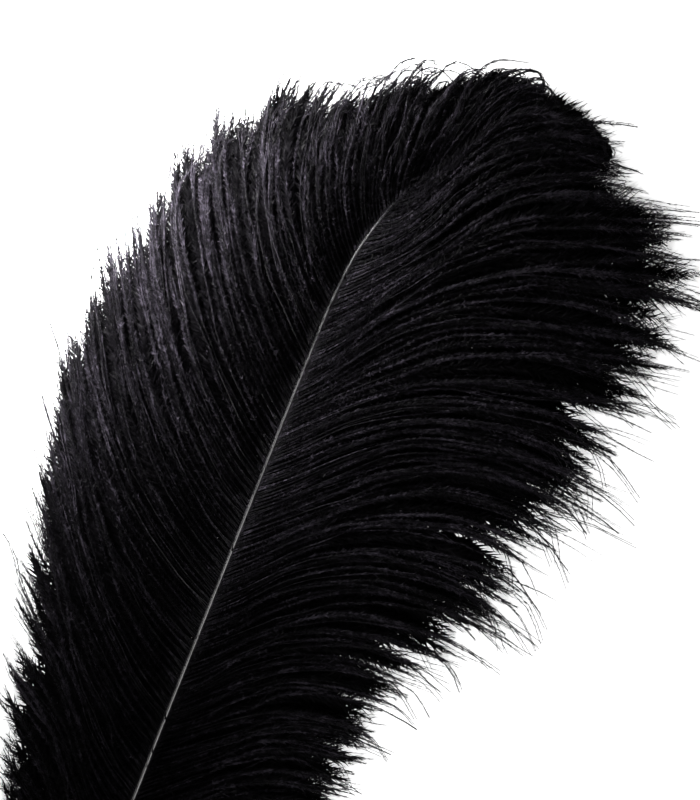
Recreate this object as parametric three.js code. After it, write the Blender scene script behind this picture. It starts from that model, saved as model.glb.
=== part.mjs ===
// Ostrich plume lying on a flat surface with its outer side up: a shaft of horn and, on each side of it, a
// vane of long loose barbs that rise off the shaft and droop back to the surface.
// Millimetres. It is laid out with the quill's end at the origin and the shaft running along +Y, and the
// finished feather is then centred over the origin with its underside at z = 0.
import * as THREE from 'three';

// The shaft's centre line, [x, y, height above the surface], from the quill's end to the tip: straight for
// three quarters of its length, then bending to the right.
const SHAFT_LINE = [
  [-5, 0, 2.3],
  [-3.5, 30, 2.7],
  [-1.4, 75, 6.5],
  [0, 130, 13],
  [0, 210, 19.5],
  [0, 310, 22.5],
  [0, 400, 23],
  [0.5, 436, 22.5],
  [3.3, 463, 22],
  [13.1, 494, 20.5],
  [26.4, 514, 19],
  [38.6, 530, 17.5],
  [50, 541, 16],
  [66, 551, 14],
  [84, 556, 12],
  [99, 555, 10],
];
// The shaft's radius, [distance along it, radius]: a blunt quill, stoutest where it sat in the skin.
const SHAFT_RADII = [
  [0, 0.9],
  [5, 1.8],
  [20, 2.3],
  [60, 2.3],
  [110, 1.75],
  [200, 1.3],
  [300, 1.1],
  [420, 0.9],
  [520, 0.65],
  [609, 0.35],
];
const SHAFT_STEPS = 72;
const SHAFT_SIDES = 10;

// Lines that the barbs follow, [root's distance along the shaft, tip x, tip y], from the lowest barb to the
// highest. The tips together are the vane's outline.
const LEFT_BARBS = [
  [50, -9, 56],
  [70, -34, 92],
  [92, -52, 130],
  [118, -70, 171],
  [145, -86, 217],
  [170, -97, 260],
  [200, -108, 318],
  [240, -115, 362],
  [290, -115, 409],
  [332, -105, 452],
  [370, -88, 491],
  [416, -53, 525],
  [463, -13, 552],
  [496, 24, 572],
  [535, 63, 578],
  [560, 82, 572],
  [585, 96, 565],
  [603, 103, 560],
];
const RIGHT_BARBS = [
  [50, 7, 54],
  [75, 36, 84],
  [105, 56, 122],
  [135, 74, 160],
  [165, 88, 200],
  [199, 101, 240],
  [256, 117, 288],
  [290, 137, 320],
  [323, 152, 362],
  [368, 172, 418],
  [400, 179, 458],
  [427, 175, 486],
  [450, 162, 511],
  [485, 130, 536],
  [520, 114, 543],
  [560, 108, 546],
  [588, 106, 548],
  [603, 104, 550],
];
const VANE_STATIONS = 44;
const VANE_STRIPS = 10;
const VANE_THICKNESS = 2.7;

// How high the barbs arch, [distance along the shaft, height], and the share of that height that they have
// from the shaft (0) to their tips (1). The last tenth lies flat on the surface.
const VANE_HEIGHTS = [
  [50, 14],
  [90, 27],
  [150, 38],
  [250, 44],
  [420, 44],
  [470, 36],
  [520, 26],
  [570, 19],
  [603, 14],
];
const ARCH = [
  [0, 0.6],
  [0.2, 0.9],
  [0.4, 1],
  [0.6, 0.8],
  [0.8, 0.36],
  [0.9, 0],
  [1, 0],
];
const ROOT_STRETCH = 0.2;

// Clear space between the shaft's flank and the vane beside it.
const FLANK_GAP = 0.4;

const horn = new THREE.MeshStandardMaterial({ color: 0x5b5859, roughness: 0.35, metalness: 0 });
const barbs = new THREE.MeshStandardMaterial({ color: 0x141317, roughness: 0.7, metalness: 0 });
const UP = new THREE.Vector3(0, 0, 1);

const shaftLine = new THREE.CatmullRomCurve3(SHAFT_LINE.map((p) => new THREE.Vector3(...p)));
const shaftLength = shaftLine.getLength();

// Value of a table of [place, value] rows at a place, straight between rows.
function tableAt(rows, place) {
  const last = rows.length - 1;
  const next = rows.findIndex((row) => row[0] >= place);
  if (next === 0) return rows[0][1];
  if (next < 0) return rows[last][1];
  const [x0, y0] = rows[next - 1];
  const [x1, y1] = rows[next];
  return THREE.MathUtils.mapLinear(place, x0, x1, y0, y1);
}

// Centre, radius and the level and upright directions across the shaft at a distance along it.
function shaftAt(distance) {
  const share = THREE.MathUtils.clamp(distance / shaftLength, 0, 1);
  const tangent = shaftLine.getTangentAt(share);
  const right = new THREE.Vector3().crossVectors(tangent, UP).normalize();
  return {
    centre: shaftLine.getPointAt(share),
    radius: tableAt(SHAFT_RADII, distance),
    right,
    over: new THREE.Vector3().crossVectors(right, tangent),
  };
}

// Closed solid through a row of rings that all have the same even number of points. Each ring turns
// right-handed about the direction from the first ring to the last. The end caps join each point of the
// ring's first half to the one across from it in the second half.
function loft(rings) {
  const sides = rings[0].length;
  const index = [];
  for (let i = 0; i < rings.length - 1; i += 1) {
    for (let j = 0; j < sides; j += 1) {
      const here = i * sides + j;
      const beside = i * sides + ((j + 1) % sides);
      index.push(here, beside, beside + sides, here, beside + sides, here + sides);
    }
  }
  const end = (rings.length - 1) * sides;
  for (let j = 0; j < sides / 2 - 1; j += 1) {
    const across = sides - 1 - j;
    index.push(j, across - 1, j + 1, j, across, across - 1);
    index.push(end + j, end + j + 1, end + across - 1, end + j, end + across - 1, end + across);
  }
  const solid = new THREE.BufferGeometry().setFromPoints(rings.flat());
  solid.setIndex(index);
  solid.computeVertexNormals();
  return solid;
}

// The quill and the ribbed shaft above it, one tapering length of horn.
function makeShaft() {
  const rings = [];
  for (let i = 0; i <= SHAFT_STEPS; i += 1) {
    const { centre, radius, right, over } = shaftAt((i / SHAFT_STEPS) * shaftLength);
    const ring = [];
    for (let j = 0; j < SHAFT_SIDES; j += 1) {
      const turn = ((j + 0.5) / SHAFT_SIDES) * 2 * Math.PI;
      const point = centre.clone();
      point.addScaledVector(over, radius * Math.cos(turn));
      point.addScaledVector(right, radius * Math.sin(turn));
      ring.push(point);
    }
    rings.push(ring);
  }
  return new THREE.Mesh(loft(rings), horn);
}

// One vane: a thick sheet of barbs that leaves the shaft's flank, arches up and comes down to lie on the
// surface at the barb tips.
function makeVane(barbLines, side) {
  const guide = new THREE.CatmullRomCurve3(barbLines.map(([root, x, y]) => new THREE.Vector3(x, y, root)));
  const rings = [];
  for (let i = 0; i <= VANE_STATIONS; i += 1) {
    const tip = guide.getPoint(i / VANE_STATIONS);
    const root = shaftAt(tip.z);
    const flank = root.centre.clone().addScaledVector(root.right, side * (root.radius + FLANK_GAP));
    const height = tableAt(VANE_HEIGHTS, tip.z);
    const upper = [];
    const lower = [];
    for (let j = 0; j <= VANE_STRIPS; j += 1) {
      const out = j / VANE_STRIPS;
      const arch = Math.max(height * tableAt(ARCH, out), VANE_THICKNESS);
      const attached = root.centre.z + VANE_THICKNESS / 2;
      const top = THREE.MathUtils.lerp(attached, arch, THREE.MathUtils.smoothstep(out, 0, ROOT_STRETCH));
      const point = new THREE.Vector3().lerpVectors(flank, tip, out);
      upper.push(point.clone().setZ(top));
      lower.push(point.clone().setZ(top - VANE_THICKNESS));
    }
    const ring = [...upper, ...lower.reverse()];
    rings.push(side > 0 ? ring : ring.reverse());
  }
  return new THREE.Mesh(loft(rings), barbs);
}

const shaft = makeShaft();
shaft.name = 'shaft';
const leftVane = makeVane(LEFT_BARBS, -1);
leftVane.name = 'left_vane';
const rightVane = makeVane(RIGHT_BARBS, 1);
rightVane.name = 'right_vane';

const group = new THREE.Group();
group.add(shaft, leftVane, rightVane);

const box = new THREE.Box3().setFromObject(group);
const middle = box.getCenter(new THREE.Vector3());
group.position.set(-middle.x, -middle.y, -box.min.z);

export default group;
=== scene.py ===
"""A black ostrich plume lying on a pale floor: a horn shaft with a vane of long downy barbs on each side.

Tables of places are in millimetres from the quill's end, with x across the feather, y along the straight
part of its shaft and z up from the floor. Every mesh is written in metres, in the row frame.
"""

import logging
import math
from dataclasses import dataclass, field
from enum import Enum

import bpy
import numpy as np
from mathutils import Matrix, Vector

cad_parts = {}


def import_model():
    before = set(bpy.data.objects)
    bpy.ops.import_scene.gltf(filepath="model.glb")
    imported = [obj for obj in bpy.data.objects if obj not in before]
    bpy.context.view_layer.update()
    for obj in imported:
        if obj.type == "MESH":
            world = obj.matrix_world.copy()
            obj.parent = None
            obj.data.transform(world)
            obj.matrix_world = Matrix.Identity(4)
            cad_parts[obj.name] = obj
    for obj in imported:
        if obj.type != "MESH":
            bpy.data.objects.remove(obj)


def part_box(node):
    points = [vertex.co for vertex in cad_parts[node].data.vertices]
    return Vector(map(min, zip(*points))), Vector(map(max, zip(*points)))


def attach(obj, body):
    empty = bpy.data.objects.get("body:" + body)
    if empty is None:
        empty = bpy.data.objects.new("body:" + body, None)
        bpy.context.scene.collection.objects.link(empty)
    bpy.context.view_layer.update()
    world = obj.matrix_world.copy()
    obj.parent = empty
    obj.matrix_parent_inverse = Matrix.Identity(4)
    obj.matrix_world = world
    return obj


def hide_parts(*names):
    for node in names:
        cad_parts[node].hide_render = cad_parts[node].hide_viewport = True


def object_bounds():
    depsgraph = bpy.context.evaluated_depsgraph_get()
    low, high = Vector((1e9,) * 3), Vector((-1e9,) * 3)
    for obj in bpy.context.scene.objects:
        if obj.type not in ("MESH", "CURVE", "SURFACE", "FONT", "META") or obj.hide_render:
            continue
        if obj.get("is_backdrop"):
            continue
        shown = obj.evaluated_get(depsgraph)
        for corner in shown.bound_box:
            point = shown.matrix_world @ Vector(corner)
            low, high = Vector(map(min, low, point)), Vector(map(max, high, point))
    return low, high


Colour = tuple[float, float, float]
Pair = tuple[float, float]
Triple = tuple[float, float, float]
Table = tuple[Pair, ...]

MM = 0.001
TINY = 1e-9

# How far the feather's box reaches to the left of the shaft's straight part, in millimetres.
LEFT_REACH = 115.5

# The chart that the finishes read: its length is the way along a shaft or a barb. The barbs lie on it in
# rows, and those whose rope numbers differ by a whole number of charts share one. The export bakes through
# a chart of this name.
UV_CHART = "OFBake"
CHART_ROWS = 128

# The angles of a stem's three corners, counted from its right side.
STEM_CORNERS = np.array([math.pi / 2, math.pi * 7 / 6, math.pi * 11 / 6])

# Places on a chart row: across it for a stem's three corners and a hair's, and along it for a hair's, from
# its foot. The feet lie on the stretch that begins at CHART_START and is CHART_SPAN long.
STEM_ACROSS = np.array([0.1, 0.3, 0.5])
HAIR_ACROSS = np.array([0.15, 0.15, 0.85])
HAIR_ALONG = np.array([-0.0012, 0.0012, 0.0])
CHART_SPAN = 0.99
CHART_START = 0.004

log = logging.getLogger("plume")


class Side(Enum):
    """Which side of the shaft a vane grows on, as the sign of x."""

    LEFT = -1
    RIGHT = 1


class Down(Enum):
    """Which down a coat wears: the open coats' own, and for the coats beneath them a darker, less glossy
    copy that is painted shade.
    """

    OPEN = "black_down"
    SHADED = "shaded_down"


# ---------------------------------------------------------------------------------------------- helpers


def smooth_line(points: np.ndarray, count: int, span: int = 20) -> np.ndarray:
    """Draw a smooth line through given points: a centripetal Catmull-Rom curve.

    Args:
        points: The points, one a row.
        count: How many points the line is given back with.
        span: How many steps are drawn between two given points.

    Returns:
        Points spaced evenly by length, one a row.
    """
    p = np.vstack([2 * points[0] - points[1], points, 2 * points[-1] - points[-2]])
    knots = np.concatenate([[0], np.cumsum(np.sqrt(np.linalg.norm(np.diff(p, axis=0), axis=1)))])
    drawn = []
    for i in range(1, len(p) - 2):
        t0, t1, t2, t3 = knots[i - 1 : i + 3]
        u = np.linspace(t1, t2, span, endpoint=False)[:, None]
        a1 = ((t1 - u) * p[i - 1] + (u - t0) * p[i]) / (t1 - t0)
        a2 = ((t2 - u) * p[i] + (u - t1) * p[i + 1]) / (t2 - t1)
        a3 = ((t3 - u) * p[i + 1] + (u - t2) * p[i + 2]) / (t3 - t2)
        b1 = ((t2 - u) * a1 + (u - t0) * a2) / (t2 - t0)
        b2 = ((t3 - u) * a2 + (u - t1) * a3) / (t3 - t1)
        drawn.append(((t2 - u) * b1 + (u - t1) * b2) / (t2 - t1))
    line = np.vstack([*drawn, p[-2:-1]])
    along = distances(line)
    return follow(np.linspace(0, along[-1], count), along, line)


def distances(line: np.ndarray) -> np.ndarray:
    """The distance along a line of each of its points."""
    return np.concatenate([[0], np.cumsum(np.linalg.norm(np.diff(line, axis=0), axis=1))])


def unit(vectors: np.ndarray) -> np.ndarray:
    """Vectors scaled to a length of one."""
    return vectors / np.maximum(np.linalg.norm(vectors, axis=-1, keepdims=True), TINY)


def ease(x: np.ndarray, low: float, high: float) -> np.ndarray:
    """Smooth step from 0 at low to 1 at high."""
    t = np.clip((x - low) / (high - low), 0, 1)
    return t * t * (3 - 2 * t)


def read(table: Table, places: np.ndarray) -> np.ndarray:
    """Values of a table at places, straight between its rows."""
    return np.interp(places, *np.array(table).T)


def follow(places: np.ndarray, along: np.ndarray, rows: np.ndarray) -> np.ndarray:
    """Rows of an array at places, where along gives the place of each of its rows."""
    return np.stack([np.interp(places, along, axis) for axis in rows.T], axis=1)


@dataclass
class MeshStock:
    """Corners, faces and chart places gathered for one mesh, in millimetres from the quill's end."""

    origin: np.ndarray
    corners: list[np.ndarray] = field(default_factory=list)
    faces: list[np.ndarray] = field(default_factory=list)
    charts: list[np.ndarray] = field(default_factory=list)
    count: int = 0

    def add(self, corners: np.ndarray, faces: np.ndarray, chart: np.ndarray) -> None:
        """Add triangles.

        Args:
            corners: Corner places, one a row.
            faces: Three corner numbers a row, counted from this call's first corner.
            chart: The chart place of each corner.
        """
        self.corners.append(corners)
        self.faces.append(faces + self.count)
        self.charts.append(chart)
        self.count += len(corners)

    def make(self, name: str, material: bpy.types.Material) -> bpy.types.Object:
        """Turn what was gathered into an object.

        Args:
            name: The object's name.
            material: The finish it wears.

        Returns:
            The new object, in the row frame.
        """
        corners = np.vstack(self.corners) * MM + self.origin
        faces = np.vstack(self.faces).astype(np.int32)
        chart = np.vstack(self.charts)
        mesh = bpy.data.meshes.new(name)
        mesh.vertices.add(len(corners))
        mesh.vertices.foreach_set("co", corners.astype(np.float32).ravel())
        mesh.loops.add(faces.size)
        mesh.loops.foreach_set("vertex_index", faces.ravel())
        mesh.polygons.add(len(faces))
        mesh.polygons.foreach_set("loop_start", np.arange(0, faces.size, 3, dtype=np.int32))
        mesh.polygons.foreach_set("use_smooth", np.ones(len(faces), bool))
        layer = mesh.uv_layers.new(name=UV_CHART)
        layer.uv.foreach_set("vector", chart[faces.ravel()].astype(np.float32).ravel())
        mesh.update()
        mesh.materials.append(material)
        made = bpy.data.objects.new(name, mesh)
        bpy.context.scene.collection.objects.link(made)
        return made


# ------------------------------------------------------------------------------------------- finishes


@dataclass(frozen=True)
class NodeBench:
    """The node tree of a material or a world, with short calls that add nodes and join them."""

    owner: bpy.types.Material | bpy.types.World

    @classmethod
    def cleared(cls, owner: bpy.types.Material | bpy.types.World) -> "NodeBench":
        """Empty the node tree of a material or a world.

        Args:
            owner: The material or the world.

        Returns:
            Its bench.
        """
        owner.use_nodes = True
        owner.node_tree.nodes.clear()
        return cls(owner)

    def node(self, kind: str, **inputs: object) -> bpy.types.Node:
        """Add a node.

        Args:
            kind: Blender's name for the node.
            inputs: Settings or input sockets, each with a value or with a socket to join. A socket's name
                has _ for each space, or is i and the socket's number.

        Returns:
            The node.
        """
        made = self.owner.node_tree.nodes.new(kind)
        for key, value in inputs.items():
            if hasattr(made, key):
                setattr(made, key, value)
                continue
            numbered = key[0] == "i" and key[1:].isdigit()
            socket = made.inputs[int(key[1:]) if numbered else key.replace("_", " ")]
            if isinstance(value, bpy.types.NodeSocket):
                self.owner.node_tree.links.new(value, socket)
            else:
                socket.default_value = value
        return made

    def chart(self) -> bpy.types.NodeSocket:
        """Socket of the place on the mesh's chart."""
        return self.node("ShaderNodeUVMap", uv_map=UV_CHART).outputs[0]

    def math(self, operation: str, first: object, second: object = 0.0) -> bpy.types.NodeSocket:
        """Socket of a math node working on two values or sockets."""
        return self.node("ShaderNodeMath", operation=operation, i0=first, i1=second).outputs[0]

    def vector(self, operation: str, first: object, second: Triple = (0, 0, 0)) -> bpy.types.NodeSocket:
        """Socket of a vector math node working on two values or sockets."""
        return self.node("ShaderNodeVectorMath", operation=operation, i0=first, i1=second).outputs[0]

    def noise(
        self, place: bpy.types.NodeSocket, detail: float, scale: float = 1.0, **inputs: object
    ) -> bpy.types.NodeSocket:
        """Add noise.

        Args:
            place: Where on the noise each place of the mesh is.
            detail: How much fine noise there is over the coarse.
            scale: How many times finer the noise is than the place.
            inputs: More settings or input sockets, as a node has them.

        Returns:
            The noise, from 0 to 1.
        """
        made = self.node("ShaderNodeTexNoise", Vector=place, Scale=scale, Detail=detail, **inputs)
        return made.outputs[0]

    def span(
        self,
        value: bpy.types.NodeSocket,
        source: Pair = (0.0, 1.0),
        target: Pair = (0.0, 1.0),
        way: str = "LINEAR",
    ) -> bpy.types.NodeSocket:
        """Take a value from one range to another.

        Args:
            value: The value.
            source: The ends of the range that it comes from.
            target: The ends of the range that it goes to.
            way: Blender's name for how it gets from one end to the other.

        Returns:
            The new value.
        """
        made = self.node("ShaderNodeMapRange", interpolation_type=way, Value=value)
        for label, limit in zip(("From Min", "From Max", "To Min", "To Max"), (*source, *target)):
            made.inputs[label].default_value = limit
        return made.outputs[0]

    def mix(self, factor: bpy.types.NodeSocket, first: object, second: object) -> bpy.types.NodeSocket:
        """Mix two colours.

        Args:
            factor: How much of the second colour there is.
            first: The first colour, as red, green and blue or a socket.
            second: The second colour, in the same way.

        Returns:
            The mixed colour.
        """
        first, second = [(*c, 1) if isinstance(c, tuple) else c for c in (first, second)]
        return self.node("ShaderNodeMix", data_type="RGBA", i0=factor, i6=first, i7=second).outputs[2]

    def ramp(
        self, factor: bpy.types.NodeSocket, stops: tuple[float, ...], colours: tuple[Colour, ...]
    ) -> bpy.types.NodeSocket:
        """Look up a colour.

        Args:
            factor: What is looked up.
            stops: Places from 0 to 1.
            colours: The colour at each place.

        Returns:
            The colour.
        """
        made = self.node("ShaderNodeValToRGB", Fac=factor)
        made.color_ramp.elements.remove(made.color_ramp.elements[1])
        for i, (place, colour) in enumerate(zip(stops, colours)):
            stop = made.color_ramp.elements[0] if i == 0 else made.color_ramp.elements.new(place)
            stop.position = place
            stop.color = (*colour, 1)
        return made.outputs[0]

    def dressed(self, shader: bpy.types.Node) -> bpy.types.Material:
        """The material, with a shader joined to its surface."""
        self.node("ShaderNodeOutputMaterial", Surface=shader.outputs[0])
        return self.owner


@dataclass(frozen=True)
class DownFinish:
    """Dyed down: nearly black with a cool cast and a faint silky gloss.

    How pale a place is comes from its rope's own tone, from patches along the barb, from single pale hairs,
    whose palest specks are also painted glints on the barbules, from how near the barb's tip it is and from
    how far out on its hair it is, each with its share.
    """

    kind: Down
    deep: Colour = (0.0014, 0.0012, 0.0016)
    usual: Colour = (0.005, 0.0043, 0.0059)
    worn: Colour = (0.0145, 0.0124, 0.017)
    # The palest colour, which single pale hairs reach: partly their own tone, partly painted glints.
    hair_and_glint: Colour = (0.062, 0.054, 0.071)
    stops: tuple[float, ...] = (0.2, 0.42, 0.62, 0.85)
    rope_share: float = 0.2
    patch_share: float = 0.35
    hair_and_glint_share: float = 0.45
    tip_share: float = 0.12
    outer_share: float = 0.08
    patches: float = 8.0
    patch_step: float = 3.7
    patch_range: Pair = (0.3, 0.7)
    patch_detail: float = 1.0
    hair_cells: Triple = (190.0, 256.0, 1.0)
    hair_contrast: float = 2.0
    tip_contrast: float = 3.0
    specular: float = 0.08
    sheen: float = 0.03
    sheen_roughness: float = 0.4
    gloss_scale: float = 9.0
    gloss_detail: float = 3.0
    gloss: Pair = (0.36, 0.6)

    def build(self) -> bpy.types.Material:
        """Make the material.

        Returns:
            The finished material.
        """
        bench = NodeBench.cleared(bpy.data.materials.new(self.kind.value))
        chart = bench.chart()
        colours = self.deep, self.usual, self.worn, self.hair_and_glint
        drift = bench.noise(chart, self.gloss_detail, scale=self.gloss_scale, noise_dimensions="2D")
        shader = bench.node(
            "ShaderNodeBsdfPrincipled",
            Base_Color=bench.ramp(self.paleness(bench, chart), self.stops, colours),
            Roughness=bench.span(drift, target=self.gloss),
            Specular_IOR_Level=self.specular,
            Sheen_Weight=self.sheen,
            Sheen_Roughness=self.sheen_roughness,
        )
        return bench.dressed(shader)

    def paleness(self, bench: NodeBench, chart: bpy.types.NodeSocket) -> bpy.types.NodeSocket:
        """Work out how pale each place is.

        Args:
            bench: The material's bench.
            chart: The place on the chart.

        Returns:
            The paleness, from 0 to 1 or a little more.
        """
        place = bench.node("ShaderNodeSeparateXYZ", Vector=chart)
        along = place.outputs["X"]
        rows = bench.math("MULTIPLY", place.outputs["Y"], float(CHART_ROWS))
        barb = bench.math("FLOOR", rows)
        tone = bench.node("ShaderNodeTexWhiteNoise", noise_dimensions="1D", W=barb)
        spread = bench.node(
            "ShaderNodeCombineXYZ",
            X=bench.math("MULTIPLY", along, self.patches),
            Y=bench.math("MULTIPLY", barb, self.patch_step),
        )
        patch = bench.noise(spread.outputs[0], self.patch_detail, noise_dimensions="2D")
        # Single pale hairs at random: partly tone, partly painted glints that stand in for the barbules'
        # highlights.
        cells = bench.vector("FLOOR", bench.vector("MULTIPLY", chart, self.hair_cells))
        hair = bench.node("ShaderNodeTexWhiteNoise", noise_dimensions="2D", Vector=cells)
        parts = (
            (tone.outputs["Value"], self.rope_share),
            (bench.span(patch, self.patch_range), self.patch_share),
            (bench.math("POWER", hair.outputs["Value"], self.hair_contrast), self.hair_and_glint_share),
            (bench.math("POWER", along, self.tip_contrast), self.tip_share),
            (bench.math("FRACT", rows), self.outer_share),
        )
        total = bench.math("MULTIPLY", *parts[0])
        for part, share in parts[1:]:
            total = bench.math("ADD", total, bench.math("MULTIPLY", part, share))
        return total


OPEN_DOWN = DownFinish(Down.OPEN)
# Painted shade: the coats beneath the open ones wear the same down, darker and with less gloss.
PAINTED_SHADE_DOWN = DownFinish(
    Down.SHADED,
    deep=(0.0009, 0.0008, 0.001),
    usual=(0.0018, 0.0016, 0.002),
    worn=(0.004, 0.0036, 0.0044),
    hair_and_glint=(0.006, 0.0054, 0.0066),
    specular=0.03,
    sheen=0.0,
)


@dataclass(frozen=True)
class HornFinish:
    """Dyed horn: a pale glossy ridge between flanks darkened with painted shade, paler lower down, and a
    bare quill of one colour.

    The ridge is the horn's own paler tone, kept to the top of the round shaft as a painted highlight, and
    the flanks are painted shade on its sides and underside. The ridge's limits are shares of a turn round
    the shaft from its underside, so that its top is at 0.5. The limits of the low ridge and the bare quill
    are shares of the shaft's length. In each pair, the look begins at the first limit and is complete at the
    second.
    """

    # The ridge colour is the horn's own paler tone and also a painted highlight along the shaft's top.
    ridge: Colour = (0.15, 0.148, 0.15)
    streak: Colour = (0.07, 0.068, 0.07)
    low_ridge: Colour = (0.56, 0.55, 0.545)
    quill: Colour = (0.3, 0.285, 0.26)
    # Painted shade on the shaft's sides and underside.
    flank: Colour = (0.012, 0.0115, 0.0125)
    streak_stops: Pair = (0.35, 0.6)
    ridge_limits: Pair = (0.39, 0.455)
    low_limits: Pair = (0.62, 0.27)
    quill_limits: Pair = (0.14, 0.03)
    grain_stretch: Triple = (18.0, 22.0, 1.0)
    grain_detail: float = 5.0
    grain_roughness: float = 0.6
    bump: float = 0.25
    bump_depth: float = 0.0001
    roughness: Pair = (0.3, 0.5)
    specular: float = 0.5

    def build(self) -> bpy.types.Material:
        """Make the material.

        Returns:
            The finished material.
        """
        bench = NodeBench.cleared(bpy.data.materials.new("dyed_horn"))
        chart = bench.chart()
        place = bench.node("ShaderNodeSeparateXYZ", Vector=chart)
        along = place.outputs["X"]
        stretched = bench.vector("MULTIPLY", chart, self.grain_stretch)
        grain = bench.noise(stretched, self.grain_detail, Roughness=self.grain_roughness)
        colour = bench.ramp(grain, self.streak_stops, (self.streak, self.ridge))
        colour = bench.mix(bench.span(along, self.low_limits, way="SMOOTHSTEP"), colour, self.low_ridge)
        turn = bench.math("ABSOLUTE", bench.math("SUBTRACT", place.outputs["Y"], 0.5))
        # Painted shade: all but the top of the shaft takes the flank colour, which leaves the pale ridge as
        # a painted highlight.
        colour = bench.mix(bench.span(turn, self.ridge_limits, way="SMOOTHSTEP"), self.flank, colour)
        colour = bench.mix(bench.span(along, self.quill_limits, way="SMOOTHSTEP"), colour, self.quill)
        bump = bench.node("ShaderNodeBump", Height=grain, Strength=self.bump, Distance=self.bump_depth)
        shader = bench.node(
            "ShaderNodeBsdfPrincipled",
            Base_Color=colour,
            Roughness=bench.span(grain, target=self.roughness),
            Normal=bump.outputs[0],
            Specular_IOR_Level=self.specular,
        )
        return bench.dressed(shader)


@dataclass(frozen=True)
class FloorFinish:
    """A pale lit table top that leaves almost no shadow."""

    colour: Colour = (0.9, 0.9, 0.9)
    roughness: float = 0.9
    glow_colour: Colour = (1.0, 1.0, 1.0)
    glow: float = 1.0

    def build(self) -> bpy.types.Material:
        """Make the material.

        Returns:
            The finished material.
        """
        bench = NodeBench.cleared(bpy.data.materials.new("pale_floor"))
        shader = bench.node(
            "ShaderNodeBsdfPrincipled",
            Base_Color=(*self.colour, 1),
            Roughness=self.roughness,
            Specular_IOR_Level=0.0,
            Emission_Color=(*self.glow_colour, 1),
            Emission_Strength=self.glow,
        )
        return bench.dressed(shader)


# ------------------------------------------------------------------------------------------ the shaft


@dataclass
class Shaft:
    """The quill and the shaft above it, one tapering length of horn with a groove below.

    The line is the points that its middle passes, and the radii go by distance along it. The groove's depth
    is a share of the radius.
    """

    origin: np.ndarray
    line: tuple[Triple, ...] = (
        (-5, 0, 2.3),
        (-3.5, 30, 2.7),
        (-1.4, 75, 6.5),
        (0, 130, 13),
        (0, 210, 19.5),
        (0, 310, 22.5),
        (0, 400, 23),
        (0.5, 436, 22.5),
        (3.3, 463, 22),
        (13.1, 494, 20.5),
        (26.4, 514, 19),
        (38.6, 530, 17.5),
        (50, 541, 16),
        (66, 551, 14),
        (84, 556, 12),
        (99, 555, 10),
    )
    radii: Table = (
        (0, 0.9),
        (5, 1.8),
        (20, 2.3),
        (60, 2.3),
        (110, 1.75),
        (200, 1.3),
        (300, 1.1),
        (420, 0.9),
        (520, 0.65),
        (609, 0.35),
    )
    samples: int = 1201
    steps: int = 240
    sides: int = 20
    groove_depth: float = 0.35
    groove_sharpness: float = 6.0
    groove_start: float = 70.0
    groove_run: float = 60.0
    centre: np.ndarray = field(init=False)
    along: np.ndarray = field(init=False)
    tangent: np.ndarray = field(init=False)
    across: np.ndarray = field(init=False)

    def __post_init__(self) -> None:
        """Work out the centre line and the directions across it."""
        self.centre = smooth_line(np.array(self.line, float), self.samples)
        self.along = distances(self.centre)
        self.tangent = unit(np.gradient(self.centre, self.along, axis=0))
        self.across = unit(np.cross(self.tangent, (0, 0, 1)))

    def at(self, places: np.ndarray, table: np.ndarray) -> np.ndarray:
        """A row of centre, tangent or across for each distance along the shaft."""
        return follow(places, self.along, table)

    def radius(self, places: np.ndarray) -> np.ndarray:
        """The shaft's radius at distances along it."""
        return read(self.radii, places)

    def build(self, finish: HornFinish) -> bpy.types.Object:
        """Make the shaft.

        Args:
            finish: The horn's finish.

        Returns:
            The shaft's object.
        """
        places = np.linspace(0, self.along[-1], self.steps + 1)
        turn = np.linspace(0, 2 * math.pi, self.sides, endpoint=False)
        ends = self.at(places, self.centre)[[0, -1]]
        chart = np.stack(np.broadcast_arrays((places / places[-1])[:, None], turn / (2 * math.pi)), axis=2)
        stock = MeshStock(self.origin)
        stock.add(
            np.vstack([self.skin(places, turn).reshape(-1, 3), ends]),
            self.faces(),
            np.vstack([chart.reshape(-1, 2), [(0, 0.5), (1, 0.5)]]),
        )
        made = stock.make("feather_shaft", finish.build())
        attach(made, "root")
        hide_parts("shaft")
        return made

    def skin(self, places: np.ndarray, turn: np.ndarray) -> np.ndarray:
        """Lay out the rings of corners round the shaft.

        Args:
            places: Distances along the shaft.
            turn: Angles round it, from its top.

        Returns:
            Places by ring, corner and axis.
        """
        across = self.at(places, self.across)
        over = np.cross(across, self.at(places, self.tangent))
        below = np.clip(-np.cos(turn), 0, 1) ** self.groove_sharpness
        run = ease(places, self.groove_start, self.groove_start + self.groove_run)[:, None]
        reach = self.radius(places)[:, None] * (1 - self.groove_depth * below * run)
        return (
            self.at(places, self.centre)[:, None]
            + over[:, None] * (reach * np.cos(turn))[:, :, None]
            + across[:, None] * (reach * np.sin(turn))[:, :, None]
        )

    def faces(self) -> np.ndarray:
        """Join the rings to each other, and the end rings to the two corners that close them.

        Returns:
            Three corner numbers a row.
        """
        first = np.arange(self.sides)
        after = (first + 1) % self.sides
        row = np.arange(self.steps)[:, None] * self.sides
        here, beside = row + first, row + after
        walls = [here, beside, beside + self.sides, here, beside + self.sides, here + self.sides]
        last = self.steps * self.sides
        base = np.full(self.sides, last + self.sides)
        caps = [
            np.stack([base, after, first], axis=1),
            np.stack([base + 1, first + last, after + last], axis=1),
        ]
        return np.vstack([np.stack(walls, axis=2).reshape(-1, 3), *caps])


# ------------------------------------------------------------------------------------------ the vanes


@dataclass(frozen=True)
class Guide:
    """The line of one barb: where its root is along the shaft and the points that it passes."""

    root: float
    points: Table


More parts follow.
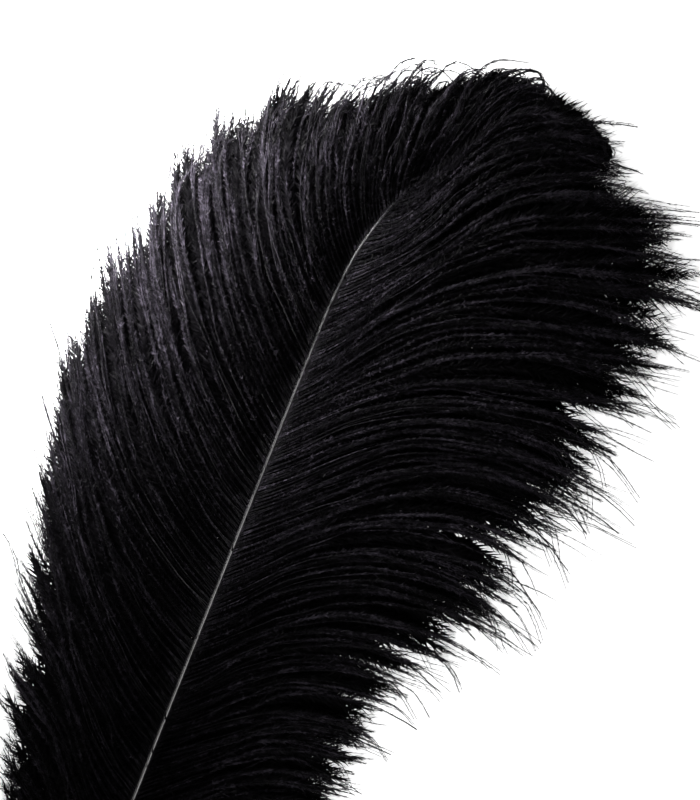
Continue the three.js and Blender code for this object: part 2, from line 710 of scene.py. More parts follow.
LEFT_GUIDES = (
    Guide(46, ((-3, 46), (-8, 53), (-14, 60), (-20, 66))),
    Guide(74, ((-1.5, 74), (-12, 82), (-24, 89), (-37, 98))),
    Guide(105, ((0, 105), (-18, 115), (-34, 128), (-50, 143), (-63, 154))),
    Guide(121, ((0, 121), (-16, 134), (-42, 163), (-74, 184))),
    Guide(152, ((0, 152), (-17, 165), (-50, 200), (-89, 227))),
    Guide(176, ((0, 176), (-17, 189), (-50, 222), (-76, 254), (-100, 278))),
    Guide(200, ((0, 200), (-17, 212), (-52, 244), (-81, 278), (-105, 307))),
    Guide(227, ((0, 227), (-18, 239), (-53, 270), (-83, 306), (-113, 349))),
    Guide(253, ((0, 253), (-19, 263), (-57, 292), (-85, 326), (-114, 380))),
    Guide(279, ((0, 279), (-18, 289), (-55, 318), (-84, 354), (-115, 409))),
    Guide(307, ((0, 307), (-17, 317), (-51, 347), (-79, 382), (-110, 433))),
    Guide(331, ((0, 331), (-16, 341), (-47, 370), (-74, 405), (-104, 453))),
    Guide(354, ((0, 354), (-14, 365), (-42, 391), (-67, 425), (-100, 482))),
    Guide(381, ((0, 381), (-12, 391), (-38, 418), (-61, 452), (-89, 504))),
    Guide(409, ((0, 409), (-10, 418), (-33, 444), (-53, 477), (-69, 527))),
    Guide(436, ((0.5, 436), (-9, 444), (-27, 467), (-40, 498), (-45, 539))),
    Guide(457, ((2.4, 457), (-5, 465), (-18, 488), (-24, 514), (-23, 542), (-19, 552))),
    Guide(475, ((6.2, 475), (1, 483), (-7, 505), (-9, 528), (-8, 552), (-4, 562))),
    Guide(488, ((10.7, 488), (6, 497), (3, 517), (2, 540), (7, 561), (14, 568))),
    Guide(501, ((16, 500), (15, 508), (15, 527), (18, 549), (25, 570), (34, 577))),
    Guide(515, ((24, 511), (24, 519), (28, 539), (34, 560), (46, 577), (56, 581))),
    Guide(532, ((34, 524), (35, 532), (42, 551), (54, 569), (59, 573), (66, 571))),
    Guide(551, ((47, 538), (51, 545), (58, 554), (65, 560), (71, 559))),
    Guide(580, ((71, 552), (76, 557), (82, 560), (88, 558))),
    Guide(608, ((98, 555), (102, 556), (105, 553), (106, 549))),
)
RIGHT_GUIDES = (
    Guide(46, ((-3, 46), (4, 54), (11, 61), (17, 67))),
    Guide(74, ((-1.5, 74), (12, 84), (26, 91), (40, 96))),
    Guide(108, ((0, 108), (18, 125), (38, 136), (57, 144), (72, 148))),
    Guide(165, ((0, 165), (10, 176), (23, 189), (52, 210), (98, 221))),
    Guide(200, ((0, 200), (8, 207), (27, 223), (55, 242), (104, 250))),
    Guide(227, ((0, 227), (9, 236), (31, 261), (62, 277), (115, 285))),
    Guide(253, ((0, 253), (10, 262), (32, 286), (62, 305), (101, 312), (146, 312))),
    Guide(279, ((0, 279), (10, 289), (32, 314), (63, 332), (105, 339), (146, 335))),
    Guide(307, ((0, 307), (10, 316), (34, 338), (59, 359), (95, 375), (165, 381))),
    Guide(331, ((0, 331), (11, 340), (34, 364), (58, 384), (97, 396), (168, 401))),
    Guide(354, ((0, 354), (11, 365), (34, 388), (62, 405), (103, 417), (173, 423))),
    Guide(369, ((0, 369), (11, 381), (38, 406), (66, 427), (101, 441), (143, 450), (179, 459))),
    Guide(381, ((0, 381), (11, 393), (32, 421), (57, 444), (94, 458), (134, 466), (173, 475))),
    Guide(392, ((0, 392), (11, 405), (29, 433), (52, 456), (84, 476), (123, 488), (167, 501))),
    Guide(409, ((0, 409), (10, 419), (30, 445), (50, 470), (77, 491), (113, 507), (148, 519))),
    Guide(423, ((0.1, 423), (9, 432), (28, 455), (45, 480), (67, 505), (99, 522), (132, 534))),
    Guide(436, ((0.5, 436), (8, 443), (26, 464), (41, 488), (60, 515), (86, 532), (117, 544))),
    Guide(457, ((2.4, 457), (12, 464), (29, 484), (40, 509), (58, 533), (83, 545), (106, 552))),
    Guide(475, ((6.2, 475), (15, 480), (29, 502), (42, 528), (61, 548), (83, 558), (99, 561))),
    Guide(499, ((15.4, 498), (23, 505), (38, 531), (53, 555), (75, 562), (87, 560))),
    Guide(521, ((28, 515), (34, 524), (48, 548), (65, 561), (83, 559))),
    Guide(551, ((47, 538), (54, 549), (62, 558), (71, 563), (81, 562))),
    Guide(580, ((71, 552), (76, 558), (84, 561), (95, 558))),
    Guide(608, ((98, 555), (101, 553), (104, 549), (104, 544))),
)


@dataclass(frozen=True)
class Barbules:
    """The fine side hairs of a barb, in millimetres: each is one long thin triangle.

    Tables give a value by the share of the way from the barb's root to its tip. The jitter is how far a
    hair's foot strays, as a share of the pitch. The lift is the range of angles, in radians, that hairs
    stand up from the barb's side, and the rake the angle, in degrees, that they make with the barb. The
    bare root is the range of lengths at the root without hairs. Hairs grow shorter on barbs under the full
    length.
    """

    pitch: float
    length: float
    width: float
    jitter: float = 0.5
    lift: Pair = (-0.6, 1.57)
    face_up: float = 0.18
    tilt: float = 0.18
    droop: float = 0.02
    bare_root: Pair = (2.0, 6.0)
    most_bare: float = 0.45
    fewest: int = 4
    full_length: float = 60.0
    rake: Table = ((0, 42), (0.3, 38), (0.8, 34), (1, 16))
    rake_scatter: float = 11.0
    growth: Table = (
        (0, 0.15),
        (0.05, 0.4),
        (0.12, 1),
        (0.4, 1),
        (0.65, 1.25),
        (0.8, 1.15),
        (0.92, 0.7),
        (1, 0.2),
    )
    growth_scatter: Pair = (0.75, 1.2)
    widths: Table = ((0, 0.6), (0.1, 1), (0.8, 1), (1, 0.6))
    bunching: float = 0.4
    bunch_pitch: Pair = (2.5, 6.0)
    fray_zone: Pair = (0.6, 0.9)
    fray_turn: float = 14.0

    def grow(
        self,
        stock: MeshStock,
        line: np.ndarray,
        rope: int,
        fray: float,
        floor: float,
        rng: np.random.Generator,
    ) -> None:
        """Grow the hairs of one barb.

        Args:
            stock: Where the hairs go.
            line: The barb's line.
            rope: The number of the barb's rope.
            fray: How frayed the barb's end is, from 0 to 1, or below 0 where it thins out.
            floor: The lowest height that a hair may have.
            rng: The source of the scatter.
        """
        along = distances(line)
        length = along[-1]
        places = self.feet(length, rng)
        count = len(places)
        u = places / length
        foot = follow(places, along, line)
        tangent = unit(follow(places, along, unit(np.gradient(line, axis=0))))
        across = unit(np.cross(tangent, (0, 0, 1)))
        over = np.cross(across, tangent)
        flip = np.tile([1.0, -1.0], count // 2)[:, None]
        lift = rng.uniform(*self.lift, count)[:, None]
        radial = flip * across * np.cos(lift) + over * np.sin(lift)
        frayed = fray * ease(u, *self.fray_zone)
        rake = read(self.rake, u) + rng.normal(0, self.rake_scatter, count) + self.fray_turn * frayed
        rake = np.radians(rake)[:, None]
        heading = tangent * np.cos(rake) + radial * np.sin(rake)
        size = self.sizes(places, length, frayed, rng)
        tip = foot + heading * size[:, None]
        tip[:, 2] -= self.droop * size**2
        faced = radial * (1 - self.face_up) + over * self.face_up + rng.normal(0, self.tilt, (count, 3))
        width = self.width * read(self.widths, u)
        half = unit(np.cross(heading, faced)) * (0.5 * width)[:, None]
        corners = np.stack([foot - half, foot + half, tip], axis=1).reshape(-1, 3)
        corners[:, 2] = np.maximum(corners[:, 2], floor)
        across_chart = (rope % CHART_ROWS + HAIR_ACROSS) / CHART_ROWS
        along_chart = u[:, None] * CHART_SPAN + HAIR_ALONG + CHART_START
        chart = np.stack(np.broadcast_arrays(along_chart, across_chart), axis=2)
        stock.add(corners, np.arange(3 * count).reshape(-1, 3), chart.reshape(-1, 2))

    def feet(self, length: float, rng: np.random.Generator) -> np.ndarray:
        """Space the feet of the hairs along a barb, in pairs.

        Args:
            length: The barb's length.
            rng: The source of the scatter.

        Returns:
            Distances along the barb.
        """
        bare = min(rng.uniform(*self.bare_root), self.most_bare * length)
        pairs = max(int((length - bare) / self.pitch), self.fewest)
        places = np.linspace(bare, length, pairs).repeat(2)
        jitter = rng.uniform(-self.jitter, self.jitter, len(places))
        return np.clip(places + jitter * self.pitch, 0, length)

    def sizes(
        self, places: np.ndarray, length: float, frayed: np.ndarray, rng: np.random.Generator
    ) -> np.ndarray:
        """Settle how long each hair is, with longer and shorter ones in bunches.

        Args:
            places: The distance of each hair's foot along the barb.
            length: The barb's length.
            frayed: How frayed the barb is at each foot.
            rng: The source of the scatter.

        Returns:
            The length of each hair.
        """
        beat = np.sin(2 * math.pi * (places / rng.uniform(*self.bunch_pitch) + rng.random()))
        size = self.length * read(self.growth, places / length) * (1 + frayed)
        size = size * rng.uniform(*self.growth_scatter, len(places)) * (1 + self.bunching * beat)
        return size * min(1, length / self.full_length)


@dataclass(frozen=True)
class Coat:
    """One layer of barbs of a vane, in millimetres.

    The rope is the fewest and the most barbs that gather into one. The layers are shares of the way up from
    the vane's underside to its top, and the reach is the range of barb lengths, as shares of the guides'.
    The flank and the root's lift are how far the roots lie from the shaft's middle to its side and upwards,
    in radii. The cuts are the distances along the shaft where one piece of the coat ends and the next
    begins.
    """

    name: str
    pitch: float
    rope: tuple[int, int]
    hairs: Barbules
    layers: Pair
    reach: Pair
    lean: float = 0.012
    swing: float = 0.7
    stray: float = 0.05
    evenness: float = 2.2
    points: int = 22
    stem: float = 0.1
    stem_tip: float = 0.08
    stem_taper: float = 1.5
    flank: float = 0.4
    root_lift: float = 1.0
    cuts: tuple[float, ...] = (240.0, 420.0)
    tufting: float = 1.0
    curl: float = 0.5
    curl_from: float = 0.68
    trim: float = 0.12
    thinning: float = 0.0
    crowd_share: float = 1.0
    down: Down = Down.OPEN

    def grow_stem(self, stock: MeshStock, line: np.ndarray, rope: int, floor: float) -> None:
        """Grow a barb's own stem, a thin strand with three sides.

        Args:
            stock: Where the stem goes.
            line: The barb's line.
            rope: The number of the barb's rope.
            floor: The lowest height that the stem may have.
        """
        u = np.linspace(0, 1, len(line))
        tangent = unit(np.gradient(line, axis=0))
        across = unit(np.cross(tangent, (0, 0, 1)))
        over = np.cross(across, tangent)
        reach = (self.stem + (self.stem_tip - self.stem) * u**self.stem_taper)[:, None, None]
        turn = STEM_CORNERS[None, :, None]
        ring = line[:, None] + reach * (over[:, None] * np.sin(turn) + across[:, None] * np.cos(turn))
        ring[:, :, 2] = np.maximum(ring[:, :, 2], floor)
        first = np.arange(len(line) - 1)[:, None] * 3
        here, beside = first + np.arange(3), first + (np.arange(3) + 1) % 3
        faces = np.stack([here, here + 3, beside + 3, here, beside + 3, beside], axis=2).reshape(-1, 3)
        rows = (rope % CHART_ROWS + STEM_ACROSS) / CHART_ROWS
        chart = np.stack(np.broadcast_arrays(u[:, None], rows), axis=2)
        stock.add(ring.reshape(-1, 3), faces, chart.reshape(-1, 2))


COATS = (
    Coat(
        name="under",
        pitch=3.3,
        rope=(1, 1),
        hairs=Barbules(
            pitch=1.3,
            length=8.0,
            width=3.4,
            lift=(-0.3, 0.7),
            face_up=1.0,
            bare_root=(0, 0),
            rake=((0, 55), (0.72, 48), (0.88, 24), (1, 12)),
            growth=((0, 1), (0.8, 1), (0.95, 0.8), (1, 0.5)),
            widths=((0, 0.6), (0.1, 1), (0.76, 1), (0.9, 0.35), (1, 0.1)),
        ),
        layers=(0.05, 0.6),
        reach=(0.92, 1.01),
        lean=0.01,
        stray=0,
        points=12,
        flank=-0.5,
        root_lift=-1.4,
        tufting=0.3,
        thinning=1.0,
        down=Down.SHADED,
    ),
    Coat(
        name="inner",
        pitch=2.5,
        rope=(1, 2),
        hairs=Barbules(
            pitch=0.8,
            length=5.0,
            width=1.0,
            lift=(-0.5, 1.2),
            face_up=0.6,
            bare_root=(0, 1),
            rake=((0, 42), (0.78, 36), (0.92, 20), (1, 12)),
            growth=((0, 0.5), (0.08, 1), (0.85, 1), (1, 0.5)),
            widths=((0, 0.6), (0.1, 1), (0.75, 1), (0.9, 0.5), (1, 0.3)),
        ),
        layers=(0.55, 0.86),
        reach=(0.93, 1.05),
        lean=0.014,
        points=14,
        flank=0.3,
        root_lift=-0.6,
        tufting=0.5,
        thinning=0.9,
        down=Down.SHADED,
    ),
    Coat(
        name="outer",
        pitch=1.5,
        rope=(2, 3),
        hairs=Barbules(pitch=0.62, length=1.9, width=0.36, tilt=0.35),
        layers=(0.82, 1.0),
        reach=(0.4, 1.07),
        lean=0.026,
        evenness=2.8,
        stray=0.1,
        swing=1.1,
        trim=0.05,
        crowd_share=0.7,
    ),
    Coat(
        name="wispy",
        pitch=1.4,
        rope=(2, 3),
        hairs=Barbules(
            pitch=1.1,
            length=2.2,
            width=0.52,
            bare_root=(50, 75),
            rake=((0, 30), (1, 14)),
            growth=((0, 0.2), (0.1, 0.6), (0.5, 1), (0.75, 1.1), (0.9, 0.8), (1, 0.3)),
        ),
        layers=(0.5, 0.97),
        reach=(0.86, 1.1),
        lean=0.03,
        evenness=1.4,
        swing=1.6,
        points=20,
        stem=0.24,
        stem_tip=0.15,
        cuts=(),
        curl=3.4,
        curl_from=0.78,
        trim=-0.11,
    ),
)


@dataclass(frozen=True)
class Habit:
    """How a vane grows from one end of the shaft to the other, in tables of values by distance along it.

    Crowding is how closely the barbs stand. Fullness is how far the lower coats fill out towards the tips.
    Frays say how ragged the barbs' ends are. Trims say how much of each coat's trim is taken off its
    length, and curls how much of each coat's curl its ends have.
    """

    crowding: Table
    fullness: Table
    frays: Table
    trims: Table
    curls: Table


LEFT_HABIT = Habit(
    crowding=((0, 1), (360, 1), (440, 1.4), (540, 1.6), (608, 1.5)),
    fullness=((0, 0.96), (300, 0.965), (400, 0.985), (450, 1), (608, 1)),
    frays=((0, 0.3), (380, 0.3), (430, -0.3), (520, -0.3), (550, 0.3), (608, 0.3)),
    trims=((0, 0), (420, 0), (460, 1), (530, 1), (565, 0)),
    curls=((0, 0), (300, 0), (360, 0.4), (400, 0.75), (440, 1), (608, 1)),
)
RIGHT_HABIT = Habit(
    crowding=(
        (0, 1),
        (150, 1.1),
        (200, 1.3),
        (320, 1.4),
        (350, 1.8),
        (420, 1.8),
        (460, 1.2),
        (608, 1.2),
    ),
    fullness=(
        (0, 1),
        (170, 0.99),
        (205, 0.92),
        (270, 0.9),
        (340, 0.9),
        (375, 0.95),
        (405, 0.98),
        (608, 0.97),
    ),
    frays=((0, 0.1), (360, 0.1), (390, 1), (500, 1), (540, 0.3), (608, 0.3)),
    trims=((0, 0), (608, 0)),
    curls=((0, 0.1), (180, 0.2), (340, 0.25), (390, 0.1), (430, 0), (608, 0)),
)


@dataclass(frozen=True)
class Scatter:
    """How unevenly barbs grow.

    Lengths and heights are shares of the barb's or the vane's own, leans are shares of a barb's length,
    swings and ripples are in millimetres, and waves and crinkles are counted along a barb. Pairs are the
    least and the most, and single values how far a barb or a tuft usually strays.
    """

    root: Pair = (0.2, 0.8)
    barb_length: float = 0.06
    tuft_length: float = 0.025
    tuft_lean: float = 0.015
    barb_lean: float = 0.02
    most_lean: float = 0.08
    astray_lean: float = 3.0
    lean_bend: float = 1.7
    barb_swing: float = 0.3
    swing_zone: Pair = (0, 0.5)
    waves: Pair = (0.7, 1.7)
    barb_phase: float = 0.4
    ripples: Pair = (0.15, 0.55)
    ripple_zone: Pair = (0.05, 0.4)
    crinkles: Pair = (3.5, 6.0)
    curls: Pair = (0.2, 1.5)
    layer: float = 0.012
    top_layer: float = 1.03


@dataclass
class Vane:
    """The barbs on one side of the shaft.

    The tufts are the range of widths that the fringe parts into. Crests are the vane's heights by distance
    along the shaft, and the two shapes are shares of that height by the way out along a barb. Covers say
    how far the roots lie over the shaft, and the cover's flank and lift are where they lie there, in radii.
    Zones are stretches of the way out, from 0 at a barb's root to 1 at its tip, on which a habit sets in.
    """

    side: Side
    guides: tuple[Guide, ...]
    shaft: Shaft
    seed: int
    tufts: Pair
    tuft_pull: float
    habit: Habit
    coats: tuple[Coat, ...] = COATS
    scatter: Scatter = Scatter()
    first_root: float = 47.0
    last_root: float = 607.0
    first_tuft: float = 42.0
    most_tufts: int = 400
    samples: int = 600
    floor_gap: float = 0.15
    crests: Table = (
        (48, 14),
        (90, 27),
        (150, 38),
        (250, 44),
        (420, 44),
        (470, 36),
        (520, 26),
        (570, 19),
        (608, 14),
    )
    top_shape: Table = ((0, 0.6), (0.12, 0.8), (0.35, 1.0), (0.6, 0.84), (0.85, 0.5), (1, 0.26))
    low_shape: Table = ((0, 0.4), (0.12, 0.22), (0.35, 0.1), (0.6, 0.06), (0.85, 0.06), (1, 0.06))
    covers: Table = ((0, 0), (478, 0), (502, 1), (608, 1))
    cover_flank: float = -0.6
    cover_lift: float = 1.8
    root_zone: Pair = (0, 0.14)
    parting_zone: Pair = (0.68, 1)
    gather_zone: Pair = (0.0, 0.07)
    loosen_zone: Pair = (0.35, 0.9)
    gathering: float = 0.93
    loosening: float = 0.3
    tuft_ends: np.ndarray = field(init=False)
    tuft_lengths: np.ndarray = field(init=False)
    tuft_leans: np.ndarray = field(init=False)

    def __post_init__(self) -> None:
        """Settle where the tufts of the fringe part, how long each is and how it leans."""
        rng = np.random.default_rng(self.seed)
        widths = rng.uniform(*self.tufts, self.most_tufts)
        self.tuft_ends = self.first_tuft + np.cumsum(widths)
        self.tuft_lengths = 1 + rng.normal(0, self.scatter.tuft_length, len(widths))
        self.tuft_leans = rng.normal(0, self.scatter.tuft_lean, len(widths))

    def build(self, finishes: dict[Down, bpy.types.Material]) -> list[bpy.types.Object]:
        """Grow the vane.

        Args:
            finishes: The material of each kind of down.

        Returns:
            The vane's objects, coat by coat.
        """
        made = []
        for number, coat in enumerate(self.coats, 1):
            rng = np.random.default_rng(self.seed + number)
            roots, rope = self.roots_of(coat, rng)
            lines = self.lines(coat, roots, rope, rng)
            frays = read(self.habit.frays, roots)
            section = np.searchsorted(coat.cuts, roots, side="right")
            for part in range(len(coat.cuts) + 1):
                stock = MeshStock(self.shaft.origin)
                for barb in np.flatnonzero(section == part):
                    coat.grow_stem(stock, lines[barb], rope[barb], self.floor_gap)
                    coat.hairs.grow(stock, lines[barb], rope[barb], frays[barb], self.floor_gap, rng)
                made.append(self.finished(stock, f"{coat.name}_barbs_{part + 1}", finishes[coat.down]))
        return made

    def finished(self, stock: MeshStock, name: str, material: bpy.types.Material) -> bpy.types.Object:
        """Make one piece of the vane and tell the frame what it is.

        Args:
            stock: The piece's corners and faces.
            name: Its name, without the vane's side.
            material: The finish it wears.

        Returns:
            The piece.
        """
        side = self.side.name.lower()
        piece = stock.make(f"{side}_{name}", material)
        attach(piece, "root")
        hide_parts(f"{side}_vane")
        return piece

    def roots_of(self, coat: Coat, rng: np.random.Generator) -> tuple[np.ndarray, np.ndarray]:
        """Place the roots of a coat along the shaft, closer together where the vane is crowded.

        Args:
            coat: The coat.
            rng: The source of its scatter.

        Returns:
            Distances along the shaft, and the number of the rope that each barb belongs to.
        """
        places = np.linspace(self.first_root, self.last_root, self.samples)
        crowd = 1 + coat.crowd_share * (read(self.habit.crowding, places) - 1)
        steps = 0.5 * (crowd[1:] + crowd[:-1]) * np.diff(places)
        filled = np.concatenate([[0], np.cumsum(steps)]) / coat.pitch
        whole = int(filled[-1])
        roots = np.interp(np.arange(whole) + rng.uniform(*self.scatter.root, whole), filled, places)
        sizes = rng.integers(coat.rope[0], coat.rope[1] + 1, len(roots))
        return roots, np.repeat(np.arange(len(sizes)), sizes)[: len(roots)]

    def lines(
        self, coat: Coat, roots: np.ndarray, rope: np.ndarray, rng: np.random.Generator
    ) -> np.ndarray:
        """Lay out the barbs of a coat.

        Args:
            coat: The coat.
            roots: Distances of the roots along the shaft.
            rope: The rope of each barb.
            rng: The source of the coat's scatter.

        Returns:
            Places by barb, point along it and axis.
        """
        tuft = np.searchsorted(self.tuft_ends, roots)
        shortest, longest = coat.reach
        reach = longest - (longest - shortest) * rng.random(rope.max() + 1)[rope] ** coat.evenness
        reach = reach * self.tuft_lengths[tuft] * (1 - self.scatter.barb_length * rng.random(len(roots)))
        reach = reach * (1 - coat.trim * read(self.habit.trims, roots))
        reach = reach * read(self.habit.fullness, roots) ** coat.thinning
        flat = self.drawn(coat, roots, reach)
        middle = self.tuft_ends[tuft] - 0.5 * np.diff(self.tuft_ends, prepend=self.first_tuft)[tuft]
        middle = np.clip(middle, self.first_root, self.last_root)
        flat = self.tufted(coat, flat, self.drawn(coat, middle, reach))
        flat = self.wander(coat, flat, rope, self.tuft_leans[tuft], rng)
        flat = self.curled(coat, flat, roots, rope, rng)
        flat = self.gather(flat, rope)
        height = self.heights(coat, roots, rope, rng)
        return np.concatenate([flat, height[:, :, None]], axis=2)

    def drawn(self, coat: Coat, roots: np.ndarray, reach: np.ndarray) -> np.ndarray:
        """Draw each barb between its neighbouring guides.

        Args:
            coat: The coat.
            roots: Distance of each root along the shaft.
            reach: The share of the guide's length that each barb has.

        Returns:
            Level places by barb, point and axis.
        """
        count = coat.points
        shapes = np.stack([smooth_line(np.array(g.points, float), count) for g in self.guides])
        shapes -= shapes[:, :1]
        at = [g.root for g in self.guides]
        between = follow(roots, at, shapes.reshape(len(at), -1)).reshape(-1, count, 2)
        where = np.linspace(0, 1, count) * reach[:, None] * (count - 1)
        low = np.clip(where.astype(int), 0, count - 2)
        part = (where - low)[:, :, None]
        barb = np.arange(len(roots))[:, None]
        shape = between[barb, low] * (1 - part) + between[barb, low + 1] * part
        flank = coat.flank + (self.cover_flank - coat.flank) * read(self.covers, roots)
        out = self.side.value * flank * self.shaft.radius(roots)
        across = self.shaft.at(roots, self.shaft.across)
        root = self.shaft.at(roots, self.shaft.centre) + across * out[:, None]
        return root[:, None, :2] + shape

    def tufted(self, coat: Coat, flat: np.ndarray, middle: np.ndarray) -> np.ndarray:
        """Draw the outer ends of the barbs towards the middle of their tufts, which parts the fringe.

        Args:
            coat: The coat.
            flat: Level places by barb, point and axis.
            middle: The line in the middle of each barb's tuft, in the same way.

        Returns:
            The new level places.
        """
        pull = self.tuft_pull * coat.tufting * ease(np.linspace(0, 1, coat.points), *self.parting_zone)
        return flat + (middle - flat) * pull[None, :, None]

    def wander(
        self, coat: Coat, flat: np.ndarray, rope: np.ndarray, lean: np.ndarray, rng: np.random.Generator
    ) -> np.ndarray:
        """Bend the barbs off their guides, a whole rope together and each barb a little.

        Args:
            coat: The coat.
            flat: Level places by barb, point and axis.
            rope: The rope of each barb.
            lean: How far each barb's tuft leans.
            rng: The source of the scatter.

        Returns:
            The new level places.
        """
        scatter = self.scatter
        u = np.linspace(0, 1, coat.points)
        tangent = unit(np.gradient(flat, axis=1))
        normal = np.stack([-tangent[:, :, 1], tangent[:, :, 0]], axis=2)
        length = np.linalg.norm(np.diff(flat, axis=1), axis=2).sum(1)
        barbs, ropes = len(flat), rope.max() + 1
        astray = np.where(rng.random(ropes) < coat.stray, scatter.astray_lean, 1.0)
        lean = lean + (rng.normal(0, coat.lean, ropes) * astray)[rope]
        lean = lean + rng.normal(0, scatter.barb_lean, barbs)
        lean = np.clip(lean, -scatter.most_lean, scatter.most_lean)
        swing = rng.normal(0, coat.swing, ropes)[rope] + rng.normal(0, scatter.barb_swing, barbs)
        waves = 2 * math.pi * rng.uniform(*scatter.waves, ropes)[rope]
        phase = rng.uniform(0, 2 * math.pi, ropes)[rope] + rng.normal(0, scatter.barb_phase, barbs)
        ripple = rng.uniform(*scatter.ripples, ropes)[rope]
        crinkle = 2 * math.pi * rng.uniform(*scatter.crinkles, ropes)[rope]
        shift = (lean * length)[:, None] * u**scatter.lean_bend
        for size, zone, turns in (
            (swing, scatter.swing_zone, waves),
            (ripple, scatter.ripple_zone, crinkle),
        ):
            shift = shift + size[:, None] * ease(u, *zone) * np.sin(turns[:, None] * u + phase[:, None])
        return flat + normal * shift[:, :, None]

    def curled(
        self, coat: Coat, flat: np.ndarray, roots: np.ndarray, rope: np.ndarray, rng: np.random.Generator
    ) -> np.ndarray:
        """Curl the ends of the barbs near the feather's tip over to the right, some ropes more than others.

        Args:
            coat: The coat.
            flat: Level places by barb, point and axis.
            roots: Distance of each root along the shaft.
            rope: The rope of each barb.
            rng: The source of the scatter.

        Returns:
            The new level places.
        """
        strength = coat.curl * read(self.habit.curls, roots)
        turns = -strength * rng.uniform(*self.scatter.curls, rope.max() + 1)[rope]
        angle = turns[:, None] * ease(np.linspace(0, 1, flat.shape[1] - 1), coat.curl_from, 1)
        step = np.diff(flat, axis=1)
        turned = np.stack(
            [
                step[:, :, 0] * np.cos(angle) - step[:, :, 1] * np.sin(angle),
                step[:, :, 0] * np.sin(angle) + step[:, :, 1] * np.cos(angle),
            ],
            axis=2,
        )
        return np.concatenate([flat[:, :1], flat[:, :1] + np.cumsum(turned, axis=1)], axis=1)

    def gather(self, flat: np.ndarray, rope: np.ndarray) -> np.ndarray:
        """Draw the barbs of each rope together from a little way out, and let them part at the tips.

        Args:
            flat: Level places by barb, point and axis.
            rope: The rope of each barb.

        Returns:
            The new level places.
        """
        u = np.linspace(0, 1, flat.shape[1])
        held = self.gathering - self.loosening * ease(u, *self.loosen_zone)
        pull = ease(u, *self.gather_zone) * held
        total = np.zeros((rope.max() + 1, *flat.shape[1:]))
        np.add.at(total, rope, flat)
        mean = (total / np.bincount(rope)[:, None, None])[rope]
        return flat + (mean - flat) * pull[None, :, None]

    def heights(
        self, coat: Coat, roots: np.ndarray, rope: np.ndarray, rng: np.random.Generator
    ) -> np.ndarray:
        """Give each barb its height above the floor, from the upper coat to the lowest barbs.

        Args:
            coat: The coat.
            roots: Distance of each root along the shaft.
            rope: The rope of each barb.
            rng: The source of the scatter.

        Returns:
            Heights by barb and point.
        """
        u = np.linspace(0, 1, coat.points)
        crest = read(self.crests, roots)[:, None]
        top = read(self.top_shape, u) * crest
        low = read(self.low_shape, u) * crest
        layer = rng.uniform(*coat.layers, rope.max() + 1)[rope]
        layer = layer + rng.normal(0, self.scatter.layer, len(roots))
        level = low + (top - low) * np.clip(layer, 0, self.scatter.top_layer)[:, None]
        lift = coat.root_lift + (self.cover_lift - coat.root_lift) * read(self.covers, roots)
        start = self.shaft.at(roots, self.shaft.centre)[:, 2:] + (lift * self.shaft.radius(roots))[:, None]
        blend = ease(u, *self.root_zone)
        return start * (1 - blend) + level * blend


# ---------------------------------------------------------------------------------------- the studio


@dataclass(frozen=True)
class Lamp:
    """A square soft light: its side in metres, its watts and how many degrees its beam spreads.

    Its place and aim are metres to the right of the camera's view, up it and above the floor.
    """

    name: str
    place: Triple
    aim: Triple
    size: float
    watts: float
    spread: float


LAMPS = (
    Lamp("key", place=(-0.28, 0.3, 0.25), aim=(-0.18, 0.18, 0.03), size=0.15, watts=3.7, spread=60.0),
    Lamp("fill", place=(0.0, -0.42, 0.4), aim=(0.02, -0.14, 0.03), size=0.3, watts=0.19, spread=60.0),
)


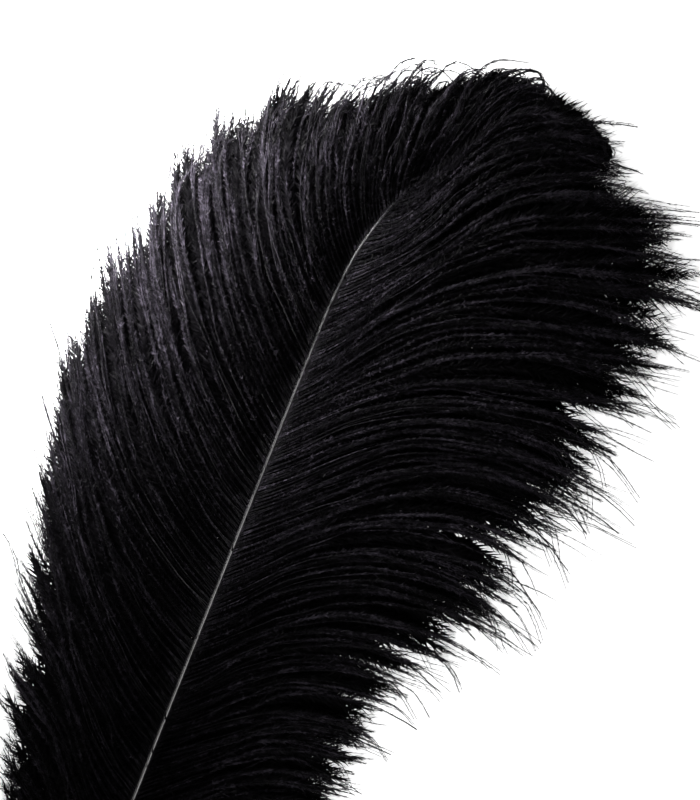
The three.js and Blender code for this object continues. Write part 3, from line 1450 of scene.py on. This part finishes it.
@dataclass
class Studio:
    """A pale floor, soft lights and the camera that looks straight down on the feather.

    The heading is how far the shaft leans from upright in the camera's view, in degrees. The camera looks
    at a place in millimetres from the quill's end. The view's height, the far limit and half the floor's
    width are in metres. The sky is how brightly it lights the feather, and the backdrop how bright it looks.
    """

    origin: np.ndarray
    heading: float = 21.7
    looks_at: Pair = (26.7, 391.7)
    view_height: float = 0.4
    lens: float = 135.0
    sensor: float = 36.0
    far: float = 50.0
    floor_half: float = 9.0
    lamps: tuple[Lamp, ...] = LAMPS
    sky: float = 0.036
    backdrop: float = 1.0

    def build(self) -> None:
        """Lay the floor, light it and set the camera."""
        self.floor()
        self.lights()
        self.camera()

    def floor(self) -> None:
        """Lay the floor, and mark it as staging."""
        bpy.ops.mesh.primitive_plane_add(size=2 * self.floor_half)
        made = bpy.context.object
        made.name = "floor"
        made.data.materials.append(FloorFinish().build())
        made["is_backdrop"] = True

    def level(self, right: float, up: float, height: float) -> Vector:
        """Find a place given by the camera's view.

        Args:
            right: Metres to the right of the view's middle.
            up: Metres up from the view's middle.
            height: Metres above the floor.

        Returns:
            The place in the row frame.
        """
        a = math.radians(self.heading)
        x = self.looks_at[0] * MM + self.origin[0] + right * math.cos(a) - up * math.sin(a)
        y = self.looks_at[1] * MM + self.origin[1] + right * math.sin(a) + up * math.cos(a)
        return Vector((x, y, height))

    def hang(self, lamp: Lamp) -> None:
        """Hang a light.

        Args:
            lamp: What it is like and where it goes.
        """
        data = bpy.data.lights.new(lamp.name, "AREA")
        data.size = lamp.size
        data.energy = lamp.watts
        data.spread = math.radians(lamp.spread)
        made = bpy.data.objects.new(lamp.name, data)
        bpy.context.scene.collection.objects.link(made)
        made.location = self.level(*lamp.place)
        made.rotation_mode = "QUATERNION"
        made.rotation_quaternion = (self.level(*lamp.aim) - made.location).to_track_quat("-Z", "Y")

    def lights(self) -> None:
        """Light the scene: a key from the upper left, a faint fill from below and a weak even sky."""
        for lamp in self.lamps:
            self.hang(lamp)
        world = bpy.data.worlds.new("sky")
        bpy.context.scene.world = world
        bench = NodeBench.cleared(world)
        sky = bench.node("ShaderNodeBackground", Strength=self.sky)
        seen = bench.node("ShaderNodeBackground", Strength=self.backdrop)
        rays = bench.node("ShaderNodeLightPath")
        mix = bench.node(
            "ShaderNodeMixShader",
            i0=rays.outputs["Is Camera Ray"],
            i1=sky.outputs[0],
            i2=seen.outputs[0],
        )
        bench.node("ShaderNodeOutputWorld", Surface=mix.outputs[0])

    def camera(self) -> None:
        """Set the camera over the feather, with the shaft leaning to the right as it rises."""
        data = bpy.data.cameras.new("camera")
        data.lens = self.lens
        data.sensor_width = self.sensor
        data.clip_end = self.far
        made = bpy.data.objects.new("camera", data)
        bpy.context.scene.collection.objects.link(made)
        made.location = self.level(0, 0, self.view_height * self.lens / self.sensor)
        made.rotation_euler = (0, 0, math.radians(self.heading))
        bpy.context.scene.camera = made
        bpy.context.scene.view_settings.view_transform = "Standard"


def main() -> None:
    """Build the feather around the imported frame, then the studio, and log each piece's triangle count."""
    logging.basicConfig(level=logging.INFO, format="%(name)s: %(message)s")
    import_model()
    cad_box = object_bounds()
    origin = np.array([cad_box[0].x + LEFT_REACH * MM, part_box("shaft")[0].y, cad_box[0].z])
    shaft = Shaft(origin)
    pieces = [shaft.build(HornFinish())]
    finishes = {down.kind: down.build() for down in (OPEN_DOWN, PAINTED_SHADE_DOWN)}
    left = Vane(
        side=Side.LEFT,
        guides=LEFT_GUIDES,
        shaft=shaft,
        seed=110,
        tufts=(3, 7),
        tuft_pull=0.22,
        habit=LEFT_HABIT,
    )
    right = Vane(
        side=Side.RIGHT,
        guides=RIGHT_GUIDES,
        shaft=shaft,
        seed=230,
        tufts=(5, 12),
        tuft_pull=0.65,
        habit=RIGHT_HABIT,
    )
    for vane in (left, right):
        pieces += vane.build(finishes)
    for piece in pieces:
        log.info("%s: %d triangles", piece.name, len(piece.data.polygons))
    Studio(origin).build()


if __name__ == "__main__":
    main()
